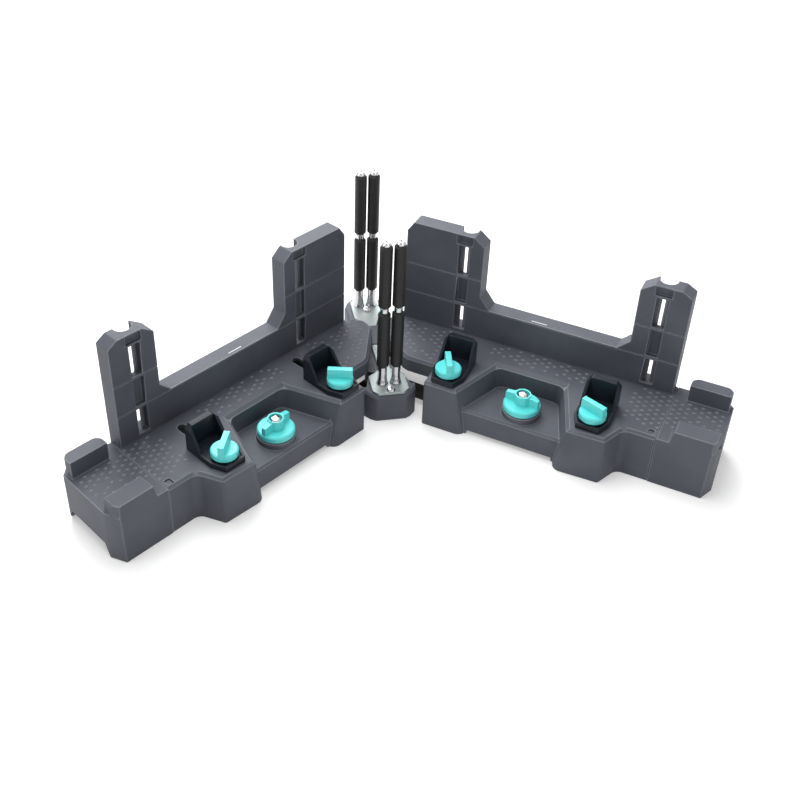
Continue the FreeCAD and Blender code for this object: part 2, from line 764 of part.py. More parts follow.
def end_piece():
    body = new_body("right_end_piece")
    inner = past_deck("end_gap")
    outer = past_deck("end_outer")
    front_corner = past_deck("end_front_corner")
    back_corner = past_deck("end_back_corner")
    back_in = past_deck("back_block_in")
    back_out = past_deck("back_block_out")
    front_in = past_deck("front_block_in")
    front_out = past_deck("front_block_out")
    block(body, "body", [
        (inner, "deck_back"), (inner, "end_front"), (front_corner, "end_front"),
        (f"{outer} + end_side_flare", "end_side_corner"), (f"{outer} - end_back_taper", "end_back_side"),
        (back_corner, "deck_back")], "0", "deck_top")
    shell(body, "wall", lambda face: facing(face, 0, 0, -1))
    low = "deck_top - wall / 2"
    block(body, "back_block", [
        (back_in, "back_block_front"), (back_out, "back_block_front"),
        (back_out, "back_block_back - back_block_corner"),
        (f"{back_out} - back_block_corner", "back_block_back"),
        (f"{back_in} + back_block_corner", "back_block_back"),
        (back_in, "back_block_back - back_block_corner")], low, "back_block_top")
    block(body, "back_block_hollow", [
        (f"{back_in} + wall", "back_block_front + wall"),
        (f"{back_out} - wall", "back_block_front + wall"),
        (f"{back_out} - wall", "back_block_back - back_block_corner"),
        (f"{back_out} - back_block_corner", "back_block_back - wall"),
        (f"{back_in} + back_block_corner", "back_block_back - wall"),
        (f"{back_in} + wall", "back_block_back - back_block_corner")],
        "deck_top - 2 * wall", "back_block_top - wall", cutting=True)
    block(body, "front_block", [
        (f"{front_in} - front_block_ramp", "deck_top"), (front_in, "front_block_top"),
        (f"{front_out} - front_block_bevel", "front_block_top"),
        (front_out, "front_block_top - front_block_bevel"), (front_out, low),
        (f"{front_in} - front_block_ramp", low)], "-front_block_back", "-end_front", plane="XZ_Plane")
    corner = new_sketch(body, "front_corner", "XY_Plane", "deck_top")
    add_outline(corner, [(front_corner, "end_front"), (f"{front_out} + wall", "end_front"),
                         (f"{front_out} + wall", "end_side_corner")])
    extrude(body, corner, "front_block_top", cutting=True)
    block(body, "front_block_hollow", [
        (f"{front_in} + wall", "deck_top - 2 * wall"),
        (f"{front_in} + wall", "front_block_top - wall"),
        (f"{front_corner} - wall", "front_block_top - wall"),
        (f"{front_corner} - wall", "deck_top - 2 * wall")],
        "-front_block_back + wall", "-end_front - wall", plane="XZ_Plane", cutting=True)
    block(body, "arch", [
        ("arch_front", "0"), ("arch_front + arch_slope", "arch_top"),
        ("arch_back - arch_slope", "arch_top"),
        ("arch_back", "0")], f"{outer} - 3 * wall", f"{outer} + wall", plane="YZ_Plane", cutting=True)
    back = "deck_back - wall - plug_gap"
    front = "deck_front + wall + plug_gap"
    high = "deck_top - wall - plug_gap"
    foot = "2 * wall"
    block(body, "plug", [
        (back, foot), (back, high), (front, high), (front, foot), (f"{front} + wall", foot),
        (f"{front} + wall", f"{high} - wall"), (f"{back} - wall", f"{high} - wall"),
        (f"{back} - wall", foot)],
        "deck_outer - plug_depth", f"{inner} + wall / 2", plane="YZ_Plane")
    block(body, "catch", [
        (f"{LATCH_A} + plug_gap", "latch_b + wall / 2"),
        (f"{LATCH_A} + latch_long - plug_gap", "latch_b + wall / 2"),
        (f"{LATCH_A} + latch_long - plug_gap", "latch_b + latch_wide - plug_gap"),
        (f"{LATCH_A} + plug_gap", "latch_b + latch_wide - plug_gap")],
        f"{high} - wall / 2", "deck_top - wall / 2")
    return body


# Centre base: the fixed moulding between the wings, with a foot at each end and the pivot hub
def mirrored_outline(half):
    """Close an outline across the saw's plane from the corners of its right-hand side."""
    return half + [(f"-({x})", y) for x, y in reversed(half)]


def both_sides(x, y):
    return [(x, y), (f"-({x})", y)]


def front_outline():
    return [("block_half", "block_half_y"), ("block_cheek_half", "block_cheek_y"),
            ("block_nose_half", "block_front")]


def rear_outline():
    return [("rear_half", "rear_front"), ("rear_half", "rear_side_y"), ("rear_cheek_half", "rear_cheek_y"),
            ("rear_tail_half", "rear_back")]


def centre_base():
    body = new_body("centre_base")
    block(body, "front_foot", mirrored_outline([("block_half", "block_foot_back")] + front_outline()),
          "0", "base_top")
    block(body, "rear_foot", mirrored_outline(rear_outline()), "0", "base_top")

    def top_rim(edge):
        rim = edge.BoundBox
        outside = rim.YMax < value("block_foot_back") - 0.01 or rim.YMin > value("rear_front") + 0.01
        beside = near(rim.XMin, "rear_half") or near(-rim.XMax, "rear_half")
        return near(rim.ZMin, "base_top") and (outside or beside)
    dress(body, "Chamfer", "foot_bevel", "block_bevel", top_rim)
    shell(body, "wall", lambda face: facing(face, 0, 0, -1))
    in_wall = "block_foot_back - wall / 2"
    block(body, "neck", mirrored_outline([
        ("block_back_half", "block_back"), ("block_half - wall", "block_foot_back"),
        ("block_half - wall", in_wall)]), "beam_bottom", "base_top")
    block(body, "beam", mirrored_outline([("beam_half", in_wall), ("beam_half", "rear_front + wall / 2")]),
          "beam_bottom", "base_top")
    block(body, "hub", mirrored_outline([
        ("hub_inner_half", "hub_front"), ("hub_half", "hub_front + hub_corner"),
        ("hub_half", "hub_back - hub_corner"), ("hub_inner_half", "hub_back")]), "beam_bottom", "hub_top")
    inside = "base_top - wall / 2"
    rods(body, "stay_bosses", both_sides("stay_x", "stay_y"), "stay_boss_radius",
         "arm_bottom + arm_thick + face_gap", inside)
    rods(body, "post_bosses", both_sides(POST_X, "rear_post_y"), "post_boss_radius",
         "beam_bottom", inside)
    screws = [("0", "front_screw_y"), ("0", "rear_screw_y")]
    rods(body, "screw_bosses", screws, "screw_boss_radius", "beam_bottom", inside)
    for count, (front, back) in enumerate(BEAM_CORES):
        core = mirrored_outline([("beam_half - wall", front), ("beam_half - wall", back)])
        block(body, f"core{count}", core, "0", "base_top - wall", cutting=True)
    rods(body, "pivot_bores", both_sides("pivot_x", "pivot_y"), "spigot_radius + running_gap",
         "0", "hub_top + wall", cutting=True)
    rods(body, "stay_bores", both_sides("stay_x", "stay_y"), "stay_screw_radius + fixed_gap",
         "0", "arm_bottom + arm_thick + stay_screw_long + fixed_gap", cutting=True)
    posts = both_sides(POST_X, "front_post_y") + both_sides(POST_X, "rear_post_y")
    rods(body, "post_bores", posts, "post_spindle_radius + fixed_gap",
         "base_top - post_tail", "base_top + wall", cutting=True)
    rods(body, "screw_bores", screws, "plate_screw_radius + fixed_gap",
         "base_top + plate_thick - plate_screw_long", "base_top + wall", cutting=True)
    return body


# Plates: two thick plates of cast zinc on the base, which carry the posts
def plate_holes(body, posts, screw):
    top = "base_top + 2 * plate_thick"
    rods(body, "post_holes", posts, "post_spindle_radius + fixed_gap", "base_top - wall", top, cutting=True)
    rods(body, "screw_hole", [screw], "plate_screw_radius + fixed_gap", "base_top - wall", top,
         cutting=True)


def front_plate():
    body = new_body("front_guide_plate")
    block(body, "plate", mirrored_outline([
        ("front_plate_nose_half", "front_plate_front"), ("front_plate_half", "front_plate_side"),
        ("front_plate_half", "front_plate_back"),
        ("front_plate_half - front_plate_corner", "front_plate_shoulder"),
        ("tongue_half", "tongue_root"), ("tongue_half", "tongue_end")]),
        "base_top", "base_top + plate_thick")
    plate_holes(body, both_sides(POST_X, "front_post_y"), ("0", "front_screw_y"))
    return body


def rear_plate():
    body = new_body("rear_guide_plate")
    block(body, "plate", mirrored_outline([
        ("rear_plate_tip", "rear_plate_tip_y"), ("rear_plate_neck", "rear_plate_neck_y"),
        ("rear_plate_half", "rear_plate_front"), ("rear_plate_half", "rear_plate_back - rear_plate_corner"),
        ("rear_plate_half - rear_plate_corner", "rear_plate_back")]), "base_top", "base_top + plate_thick")
    plate_holes(body, both_sides(POST_X, "rear_post_y"), ("0", "rear_screw_y"))
    return body


# Screws and other turned pieces
def screw(name, head_radius, head_tall, shank_radius, shank_long, cross=True):
    """A round-headed screw that stands on its head's seat, with its shank down."""
    body = new_body(name)
    turn(body, "profile", [
        ("0", f"-({shank_long})"), (shank_radius, f"-({shank_long})"), (shank_radius, "0"),
        (head_radius, "0"), (head_radius, f"{head_tall} * 0.4"), (f"{head_radius} * 0.72", head_tall),
        ("0", head_tall)])
    if cross:
        arm, half = f"{head_radius} * 0.5", "cross_wide / 2"
        block(body, "cross", [
            (arm, half), (half, half), (half, arm), (f"-({half})", arm), (f"-({half})", half),
            (f"-({arm})", half), (f"-({arm})", f"-({half})"), (f"-({half})", f"-({half})"),
            (f"-({half})", f"-({arm})"), (half, f"-({arm})"), (half, f"-({half})"), (arm, f"-({half})")],
            f"{head_tall} - cross_deep", f"{head_tall} + tool_gap", cutting=True)
    return body


def post(name):
    body = new_body(name)
    plate_top = "base_top + plate_thick"
    bore = "cap_screw_radius + fixed_gap"
    turn(body, "profile", [
        ("0", "base_top - post_tail"), ("post_spindle_radius", "base_top - post_tail"),
        ("post_spindle_radius", plate_top), ("post_flare_radius", plate_top),
        ("post_flare_radius", f"{plate_top} + post_flare_tall"),
        ("post_waist_radius", f"{plate_top} + post_waist_tall"),
        ("post_radius", f"{plate_top} + post_cone_tall"),
        ("post_radius", "post_shoulder"), ("post_spindle_radius", "post_shoulder"),
        ("post_spindle_radius", "post_top"), (bore, "post_top"), (bore, "post_top - cap_screw_long"),
        ("0", "post_top - cap_screw_long")])
    return body


def ring(name, bore, radius, low, high, bevel):
    """A sleeve or collar with bevelled rims."""
    body = new_body(name)
    turn(body, "profile", [
        (bore, low), (f"{radius} - {bevel}", low), (radius, f"{low} + {bevel}"),
        (radius, f"{high} - {bevel}"), (f"{radius} - {bevel}", high), (bore, high)])
    return body


def pivot_screw():
    body = new_body("right_pivot_screw")
    seat = "beam_bottom - face_gap"
    turn(body, "profile", [
        ("0", f"{seat} - pivot_head_tall"), ("pivot_head_radius - bevel", f"{seat} - pivot_head_tall"),
        ("pivot_head_radius", f"{seat} - pivot_head_tall + bevel"), ("pivot_head_radius", seat),
        ("bolt_radius", seat), ("bolt_radius", "nose_bottom - wall"), ("0", "nose_bottom - wall")])
    return body


def stay_screw(name):
    body = new_body(name)
    seat = "arm_bottom - face_gap"
    shoulder = "arm_bottom + arm_thick + face_gap"
    turn(body, "profile", [
        ("0", f"{seat} - stay_head_tall"), ("stay_head_radius - bevel", f"{seat} - stay_head_tall"),
        ("stay_head_radius", f"{seat} - stay_head_tall + bevel"), ("stay_head_radius", seat),
        ("arm_hub_radius", seat), ("arm_hub_radius", shoulder), ("stay_screw_radius", shoulder),
        ("stay_screw_radius", "arm_bottom + arm_thick + stay_screw_long"),
        ("0", "arm_bottom + arm_thick + stay_screw_long")])
    return body


# Stay arm: a flat slotted steel bar under each wing, which the lock bolt clamps
def stay_arm():
    body = new_body("right_stay_arm")
    sketch = new_sketch(body, "bar", "XY_Plane", "arm_bottom")
    add_slot(sketch, ("0", "0"), ("0", "arm_slot_far + arm_end"), "arm_half")
    add_slot(sketch, ("0", "arm_slot_near"), ("0", "arm_slot_far"), "arm_slot_half")
    add_circle(sketch, "0", "0", "arm_hub_radius + running_gap")
    extrude(body, sketch, "arm_thick")
    return body


# Lock: a large knob on the shelf draws a square nut up against the stay arm
def lock_knob():
    body = new_body("right_lock_knob")
    low = "shelf_top + lock_ring_tall + face_gap"
    high = f"{low} + lock_hub_tall"
    seat = f"{high} - lock_head_deep"
    bore = "lock_bolt_radius + fixed_gap"
    cup = "lock_well_radius"
    disc = f"{low} + lock_disc_tall"
    turn(body, "profile", [
        (bore, low), ("lock_disc_radius - bevel", low), ("lock_disc_radius", f"{low} + bevel"),
        ("lock_disc_radius", f"{disc} - lock_disc_bevel"), ("lock_disc_radius - lock_disc_bevel", disc),
        ("lock_hub_radius", disc), ("lock_hub_radius", high), (cup, high), (cup, seat), (bore, seat)])
    tip_top = f"{low} + lock_grip_tall - lock_grip_tip_drop"
    for side, sign in (("one", ""), ("two", "-")):
        inner, outer = f"{sign}(lock_well_radius + tool_gap)", f"{sign}(lock_grip_long / 2)"
        block(body, f"grip_{side}", [
            (inner, "-lock_grip_half"), (outer, "-lock_grip_tip_half"), (outer, "lock_grip_tip_half"),
            (inner, "lock_grip_half")], f"{disc} - wall", f"{low} + lock_grip_tall")
        block(body, f"grip_{side}_slope", [
            (inner, f"{low} + lock_grip_tall"), (outer, tip_top), (outer, f"{low} + lock_grip_tall"),
            ], "-2 * lock_grip_half", "2 * lock_grip_half", plane="XZ_Plane", cutting=True)
    return body


def lock_bolt():
    body = new_body("right_lock_bolt")
    high = "shelf_top + lock_ring_tall + face_gap + lock_hub_tall"
    seat = f"{high} - lock_head_deep"
    top = f"{seat} + lock_head_tall"
    turn(body, "profile", [
        ("0", "lock_bolt_end"), ("lock_bolt_radius", "lock_bolt_end"), ("lock_bolt_radius", seat),
        ("lock_head_radius", seat), ("lock_head_radius", f"{seat} + lock_head_rim"),
        ("lock_head_radius * 0.75", f"{seat} + (lock_head_rim + 3 * lock_head_tall) / 4"),
        ("lock_head_radius * 0.4", top), ("0", top)])
    return body


def square_nut(name, half, bore, low, high):
    body = new_body(name)
    corners = [(f"-{half}", f"-{half}"), (half, f"-{half}"), (half, half), (f"-{half}", half)]
    block(body, "square", corners, low, high)
    rods(body, "bore", [("0", "0")], bore, f"{low} - tool_gap", f"{high} + tool_gap", cutting=True)
    return body


# Clamp: a scoop-shaped jaw that slides toward the fence on its key, and the knob that holds it
def clamp_jaw(name):
    body = new_body(name)
    side = [("jaw_half", "jaw_back"), ("jaw_foot_half", "jaw_elbow"), ("jaw_foot_half", "jaw_waist"),
            ("jaw_front_half", "jaw_front")]
    block(body, "outside", mirrored_outline(side), "0", "jaw_tall")

    def top_corner(edge):
        rim = edge.BoundBox
        return near(rim.ZMin, "jaw_tall") and near(rim.YMax, "jaw_back") and rim.XLength < rim.YLength
    dress(body, "Chamfer", "corners", "jaw_corner", top_corner)
    plate_front = "jaw_back - jaw_plate"
    above, ahead = "jaw_tall + tool_gap", "jaw_front - tool_gap"
    block(body, "slope", [
        (plate_front, "jaw_tall"), (plate_front, above), (ahead, above), (ahead, "jaw_rim"),
        ("jaw_slope_foot", "jaw_rim")], "-2 * jaw_half", "2 * jaw_half", plane="YZ_Plane", cutting=True)
    block(body, "inside", mirrored_outline([
        ("jaw_half - jaw_side", plate_front), ("jaw_foot_half - jaw_side", "jaw_elbow"),
        ("jaw_foot_half - jaw_side", "jaw_waist"),
        ("jaw_front_half - jaw_side / 2", "jaw_front + jaw_side")]), "jaw_floor", above, cutting=True)

    centre = [("0", "0")]
    rods(body, "pad", centre, "jaw_pad_radius", "jaw_floor / 2", "jaw_floor + jaw_pad_tall")
    half = "(slot_width / 2 - key_gap)"
    block(body, "key", [
        (f"-{half}", "key_front"), (half, "key_front"), (half, "key_back"), (f"-{half}", "key_back")],
        "-key_deep", "jaw_floor / 2")
    rods(body, "bore", centre, "bolt_radius + running_gap", "-key_deep - tool_gap", "jaw_tall",
         cutting=True)
    return body


def clamp_knob(name):
    body = new_body(name)
    low = "jaw_floor + jaw_pad_tall + knob_rise"
    disc = f"{low} + knob_tall"
    bore = "bolt_radius + fixed_gap"
    turn(body, "profile", [
        (bore, low), ("knob_radius - bevel", low), ("knob_radius", f"{low} + bevel"),
        ("knob_radius", f"{disc} - knob_bevel"), ("knob_radius - knob_bevel", disc), ("0", disc),
        ("0", f"{low} + knob_bore_deep"), (bore, f"{low} + knob_bore_deep")])
    long, half = "knob_grip_long / 2", "knob_grip_half"
    block(body, "grip", [(f"-{long}", f"-{half}"), (long, f"-{half}"), (long, half), (f"-{long}", half)],
          f"{disc} - knob_bevel", f"{low} + knob_grip_tall")
    return body


def clamp_bolt(name):
    body = new_body(name)
    top = "jaw_floor + jaw_pad_tall + knob_rise + knob_bore_deep - fixed_gap"
    turn(body, "profile", [
        ("0", "-bolt_foot"), ("bolt_radius", "-bolt_foot"), ("bolt_radius", top), ("0", top)])
    return body


# Assembly: each piece is put where it belongs, and the left-hand ones are mirror images
keep(centre_base())
keep(front_plate())
keep(rear_plate())
plate_top = "base_top + plate_thick"
plate_screws = []
for side in ("front", "rear"):
    item = screw(f"{side}_plate_screw", "plate_head_radius", "plate_head_tall", "plate_screw_radius",
                 "plate_screw_long - fixed_gap")
    put(item, "0", f"{side}_screw_y", plate_top)
    plate_screws.append(item)
keep(group("plate_screws", plate_screws))
caps = []
collars = []
spindle_bore = "post_spindle_radius + running_gap"
collar_top = "collar_bottom + collar_tall"
for side in ("front", "rear"):
    for hand, sign in (("left", "-"), ("right", "")):
        x, y = f"{sign}({POST_X})", f"{side}_post_y"
        where = f"{side}_{hand}"
        pieces = [post(f"{where}_post")]
        pieces.append(ring(f"{where}_lower_roller", spindle_bore, "roller_radius",
                           "post_shoulder + roller_gap", "collar_bottom - roller_gap", "roller_bevel"))
        pieces.append(ring(f"{where}_upper_roller", spindle_bore, "roller_radius",
                           f"{collar_top} + roller_gap", "post_top - roller_gap", "roller_bevel"))
        for item in pieces:
            put(keep(item), x, y)
        collars.append(ring(f"{where}_collar", "post_spindle_radius + fixed_gap", "collar_radius",
                            "collar_bottom", collar_top, "collar_bevel"))
        put(collars[-1], x, y)
        caps.append(screw(f"{where}_cap_screw", "cap_radius", "cap_tall", "cap_screw_radius",
                          "cap_screw_long - fixed_gap"))
        put(caps[-1], x, y, "post_top")
keep(group("post_collars", collars))
keep(group("post_cap_screws", caps))

for make in (wing_deck, fence, end_piece):
    item = make()
    put_on_wing(item)
    keep_pair(item)
fence_screws = []
for count, name in enumerate(FENCE_SCREWS_A):
    item = screw(f"right_fence_screw{count}", "fence_head_radius", "fence_head_tall", "fence_screw_radius",
                 "fence_screw_long", cross=False)
    x, y = wing_point(name, "fence_screw_b")
    spot = f"placement(vector({x}; {y}; deck_top - wall); rotation(vector(1; 0; 0); 180))"
    item.setExpression("Placement", formula(spot))
    fence_screws.append(item)
keep_pair(group("right_fence_screws", fence_screws))

item = pivot_screw()
put_on_wing(item, "pivot_a", "pivot_b")
keep_pair(item)
stay_screws = []
for hand, (x, y) in zip(("right", "left"), both_sides("stay_x", "stay_y")):
    item = stay_screw(f"{hand}_stay_screw")
    put(item, x, y)
    stay_screws.append(item)
keep(group("stay_screws", stay_screws))
item = stay_arm()
lock_x, lock_y = wing_point("lock_a", "lock_b")
put(item, "stay_x", "stay_y", "0", f"atan((({lock_y}) - stay_y) / (({lock_x}) - stay_x)) - 90 deg")
keep_pair(item)
nut = square_nut("right_lock_nut", "lock_nut_half", "lock_bolt_radius + running_gap", "lock_nut_bottom",
                 "arm_bottom - face_gap")
for item, turned in ((lock_knob(), "lock_grip_turn"), (lock_bolt(), "0"), (nut, "0")):
    put_on_wing(item, "lock_a", "lock_b", turned=turned)
    keep_pair(item)

for place, centre in (("outer", "clamp_out"), ("inner", "clamp_in")):
    name = f"right_{place}_clamp"
    nut = square_nut(f"{name}_nut", "nut_half", "bolt_radius + running_gap", "-wall - face_gap - nut_tall",
                     "-wall - face_gap")
    for item in (clamp_jaw(f"{name}_jaw"), clamp_bolt(f"{name}_bolt"), nut):
        put_on_wing(item, centre, "clamp_screw_b", "deck_top")
        keep_pair(item)
    for hand in ("right", "left"):
        item = clamp_knob(f"{hand}_{place}_clamp_knob")
        put_on_wing(item, centre, "clamp_screw_b", "deck_top", f"{hand}_{place}_grip_turn")
        if hand == "left":
            item.Label = f"{item.Label}_pattern"
            mirror = doc.addObject("Part::Mirroring", f"{item.Name}_mirrored")
            mirror.Label = f"left_{place}_clamp_knob"
            mirror.Source = item
            mirror.Normal = Vector(1, 0, 0)
            item = mirror
        keep(item)

doc.recompute()
for item in doc.Objects:
    if {"Invalid", "Error"} & set(item.State):
        raise RuntimeError(f"{item.Name} is broken: {item.State}")
for node in nodes:
    if node.Shape.isNull() or not node.Shape.isValid() or not node.Shape.Solids:
        raise RuntimeError(f"{node.Label} has no valid solid")
os.makedirs("parts", exist_ok=True)
for node in nodes:
    node.Shape.exportStep(f"parts/{node.Label}.step")
print(len(nodes), "nodes written")
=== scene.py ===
import json
import math

import bmesh
import bpy
import numpy as np
from mathutils import Matrix, Vector

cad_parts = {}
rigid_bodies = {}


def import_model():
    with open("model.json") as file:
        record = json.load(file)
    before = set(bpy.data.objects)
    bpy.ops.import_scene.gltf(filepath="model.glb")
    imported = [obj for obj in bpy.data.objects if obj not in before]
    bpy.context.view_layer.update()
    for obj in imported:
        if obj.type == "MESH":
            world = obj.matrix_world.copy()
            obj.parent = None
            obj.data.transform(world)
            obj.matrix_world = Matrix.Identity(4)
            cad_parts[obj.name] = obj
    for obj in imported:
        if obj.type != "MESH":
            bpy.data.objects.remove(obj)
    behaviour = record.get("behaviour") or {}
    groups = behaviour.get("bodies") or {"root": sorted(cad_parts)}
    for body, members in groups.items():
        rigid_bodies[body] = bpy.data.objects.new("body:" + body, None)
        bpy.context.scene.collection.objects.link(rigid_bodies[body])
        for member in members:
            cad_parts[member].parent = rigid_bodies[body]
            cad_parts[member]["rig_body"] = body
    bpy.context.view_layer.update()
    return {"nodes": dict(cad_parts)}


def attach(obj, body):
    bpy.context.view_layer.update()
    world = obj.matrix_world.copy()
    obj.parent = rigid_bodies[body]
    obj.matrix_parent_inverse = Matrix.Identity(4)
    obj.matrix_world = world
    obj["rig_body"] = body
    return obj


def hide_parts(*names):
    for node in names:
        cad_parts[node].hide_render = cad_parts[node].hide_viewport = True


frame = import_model()


# Centre base: the fixed moulding between the wings, with a foot under each pair of posts.
# It is injection moulded in one piece from dark blue-grey glass-filled nylon, and the tool's
# sand texture is on every face that shows.
class Field:
    """A number that varies over a surface. Arithmetic on it adds Math nodes."""

    def __init__(self, finish, socket):
        self.finish = finish
        self.socket = socket

    def math(self, operation, *values):
        return self.finish.node("ShaderNodeMath", {"operation": operation}, dict(enumerate(values)))

    def __add__(self, other):
        return self.math("ADD", self, other)

    def __radd__(self, other):
        return self.math("ADD", other, self)

    def __sub__(self, other):
        return self.math("SUBTRACT", self, other)

    def __rsub__(self, other):
        return self.math("SUBTRACT", other, self)

    def __mul__(self, other):
        return self.math("MULTIPLY", self, other)

    def __rmul__(self, other):
        return self.math("MULTIPLY", other, self)


class Finish:
    """A material. Constants sit on the shader's own sockets, and node() adds anything else."""

    def __init__(self, name, constants):
        self.material = bpy.data.materials.new(name)
        self.material.use_nodes = True
        self.tree = self.material.node_tree
        self.shader = self.tree.nodes["Principled BSDF"]
        for socket, value in constants.items():
            self.shader.inputs[socket].default_value = value
        self.place = self.node("ShaderNodeTexCoord", output="Object")

    def node(self, kind, settings=None, values=None, output=0):
        """Add a node, give it its settings, then the values or links of its sockets."""
        made = self.tree.nodes.new(kind)
        for setting, value in (settings or {}).items():
            setattr(made, setting, value)
        for socket, value in (values or {}).items():
            if isinstance(value, Field):
                self.tree.links.new(value.socket, made.inputs[socket])
            else:
                made.inputs[socket].default_value = value
        return Field(self, made.outputs[output])

    def feed(self, socket, field):
        self.tree.links.new(field.socket, self.shader.inputs[socket])

    def noise(self, size, detail=2.0, place=None):
        """Soft noise whose features are about the size given, in metres."""
        values = {"Vector": place or self.place, "Scale": 1.0 / size, "Detail": detail}
        return self.node("ShaderNodeTexNoise", values=values)

    def mask(self, field, low, high):
        """0 below low, 1 above high, and smooth in between."""
        values = {"Value": field, "From Min": low, "From Max": high}
        return self.node("ShaderNodeMapRange", {"interpolation_type": "SMOOTHSTEP"}, values)

    def blend(self, share, first, second):
        """A colour between two, by a field from 0 to 1."""
        values = {0: share, 6: first, 7: second}
        return self.node("ShaderNodeMix", {"data_type": "RGBA"}, values, output=2)

    def relief(self, height, depth):
        """Bump the surface by a height field from 0 to 1, whose full depth is in metres."""
        self.feed("Normal", self.node("ShaderNodeBump", values={"Distance": depth, "Height": height}))


def moulded_nylon(name, dark, light, fleck, edge):
    """Sand-textured nylon with pale glass specks, and a painted highlight that lightens it along every
    edge.
    """
    cloud_size, fibre_size, sand_size, sand_depth = 0.055, 0.0011, 0.00042, 0.00010
    fleck_share, edge_highlight_reach, edge_highlight_share = 0.35, 0.0018, 0.80
    finish = Finish(name, {"Specular IOR Level": 0.36})
    cloud = finish.noise(cloud_size, 3.0)
    fibre = finish.noise(fibre_size, 3.0)
    sand = finish.noise(sand_size, 2.0)
    body = finish.blend(finish.mask(cloud, 0.35, 0.65), dark, light)
    specks = finish.blend(finish.mask(fibre, 0.56, 0.74) * fleck_share, body, fleck)
    # Painted highlight: near every edge, convex or concave, the colour is blended towards the pale edge
    # colour, standing for the light that rounded edges catch.
    rounded = finish.node("ShaderNodeBevel", {"samples": 6}, {"Radius": edge_highlight_reach})
    facing = finish.node("ShaderNodeNewGeometry", output="Normal")
    product = {"operation": "DOT_PRODUCT"}
    agree = finish.node("ShaderNodeVectorMath", product, {0: rounded, 1: facing}, output="Value")
    edge_highlight_mask = finish.mask(1.0 - agree, 0.004, 0.06)
    finish.feed("Base Color", finish.blend(edge_highlight_mask * edge_highlight_share, specks, edge))
    finish.feed("Roughness", 0.47 + cloud * 0.12 + sand * 0.10)
    finish.relief(sand * 0.7 + fibre * 0.3, sand_depth)
    return finish.material


def free_width(face, loop):
    """How far a face reaches inward from one of its edges before it meets another of its edges."""
    touch, least_run = 1e-5, 1e-9
    start = loop.vert.co
    along = loop.link_loop_next.vert.co - start
    length = along.length
    along.normalize()
    inward = face.normal.cross(along)
    corners = np.array([vert.co - start for vert in face.verts])
    run, reach = corners @ np.array(along), corners @ np.array(inward)
    beside = reach[(run > -touch) & (run < length + touch) & (reach > touch)]
    width = beside.min() if len(beside) else math.inf
    next_run, next_reach = np.roll(run, -1), np.roll(reach, -1)
    for share in (0.25, 0.5, 0.75):
        place = length * share
        over = ((run - place) * (next_run - place) <= 0.0) & (np.abs(next_run - run) > least_run)
        if over.any():
            part = (place - run[over]) / (next_run[over] - run[over])
            found = reach[over] + part * (next_reach[over] - reach[over])
            found = found[found > touch]
            width = min(width, found.min()) if len(found) else width
    return width


def runs_on(away, out):
    """Whether an edge that leaves a corner goes nearly straight on from the one that ends there."""
    return away.normalized().dot(out) < -0.86


def edge_room(edge):
    """How far an edge's rounding may reach before it meets another edge or passes a corner."""
    width_share, length_share = 0.42, 0.8
    room = width_share * min(free_width(loop.face, loop) for loop in edge.link_loops)
    line = (edge.verts[1].co - edge.verts[0].co).normalized()
    for vert, out in ((edge.verts[0], line), (edge.verts[1], -line)):
        for other in vert.link_edges:
            away = other.other_vert(vert).co - vert.co
            if other is not edge and not runs_on(away, out):
                room = min(room, length_share * away.length)
    return room


def evened(reach, least_reach):
    """Give edges that run on into each other one reach, and drop the chains below the least reach."""
    left, even = set(reach), {}
    while left:
        chain, waiting = [], [left.pop()]
        while waiting:
            edge = waiting.pop()
            chain.append(edge)
            for vert in edge.verts:
                out = (edge.other_vert(vert).co - vert.co).normalized()
                for other in vert.link_edges:
                    if other in left and runs_on(other.other_vert(vert).co - vert.co, out):
                        left.remove(other)
                        waiting.append(other)
        least = min(reach[edge] for edge in chain)
        if least > least_reach:
            even.update(dict.fromkeys(chain, least))
    return even


same_place = 2e-6
flat_turn = math.radians(0.3)


def cleaned(mesh):
    """A mesh as whole faces: doubles merged, flat neighbours made one, and a bevel weight on each edge."""
    work = bmesh.new()
    work.from_mesh(mesh)
    if "bevel_weight_edge" not in work.edges.layers.float:
        work.edges.layers.float.new("bevel_weight_edge")
    bmesh.ops.remove_doubles(work, verts=work.verts, dist=same_place)
    bmesh.ops.dissolve_limit(work, angle_limit=flat_turn, verts=work.verts, edges=work.edges)
    return work


def rounded_mesh(work, reach, segments, name):
    """Round the edges of a bmesh, each as far as reach says, and give the finished mesh."""
    most = max(reach.values(), default=0.0)
    weight = work.edges.layers.float["bevel_weight_edge"]
    for edge in work.edges:
        edge[weight] = reach.get(edge, 0.0) / most if most else 0.0
    mesh = bpy.data.meshes.new(name)
    work.to_mesh(mesh)
    work.free()
    shape = bpy.data.objects.new(name, mesh)
    bpy.context.scene.collection.objects.link(shape)
    bevel = shape.modifiers.new("edge_radius", "BEVEL")
    bevel.width = most
    bevel.segments = segments
    bevel.limit_method = "WEIGHT"
    bevel.use_clamp_overlap = False
    depsgraph = bpy.context.evaluated_depsgraph_get()
    finished = bpy.data.meshes.new_from_object(shape.evaluated_get(depsgraph))
    bpy.data.objects.remove(shape)
    return finished


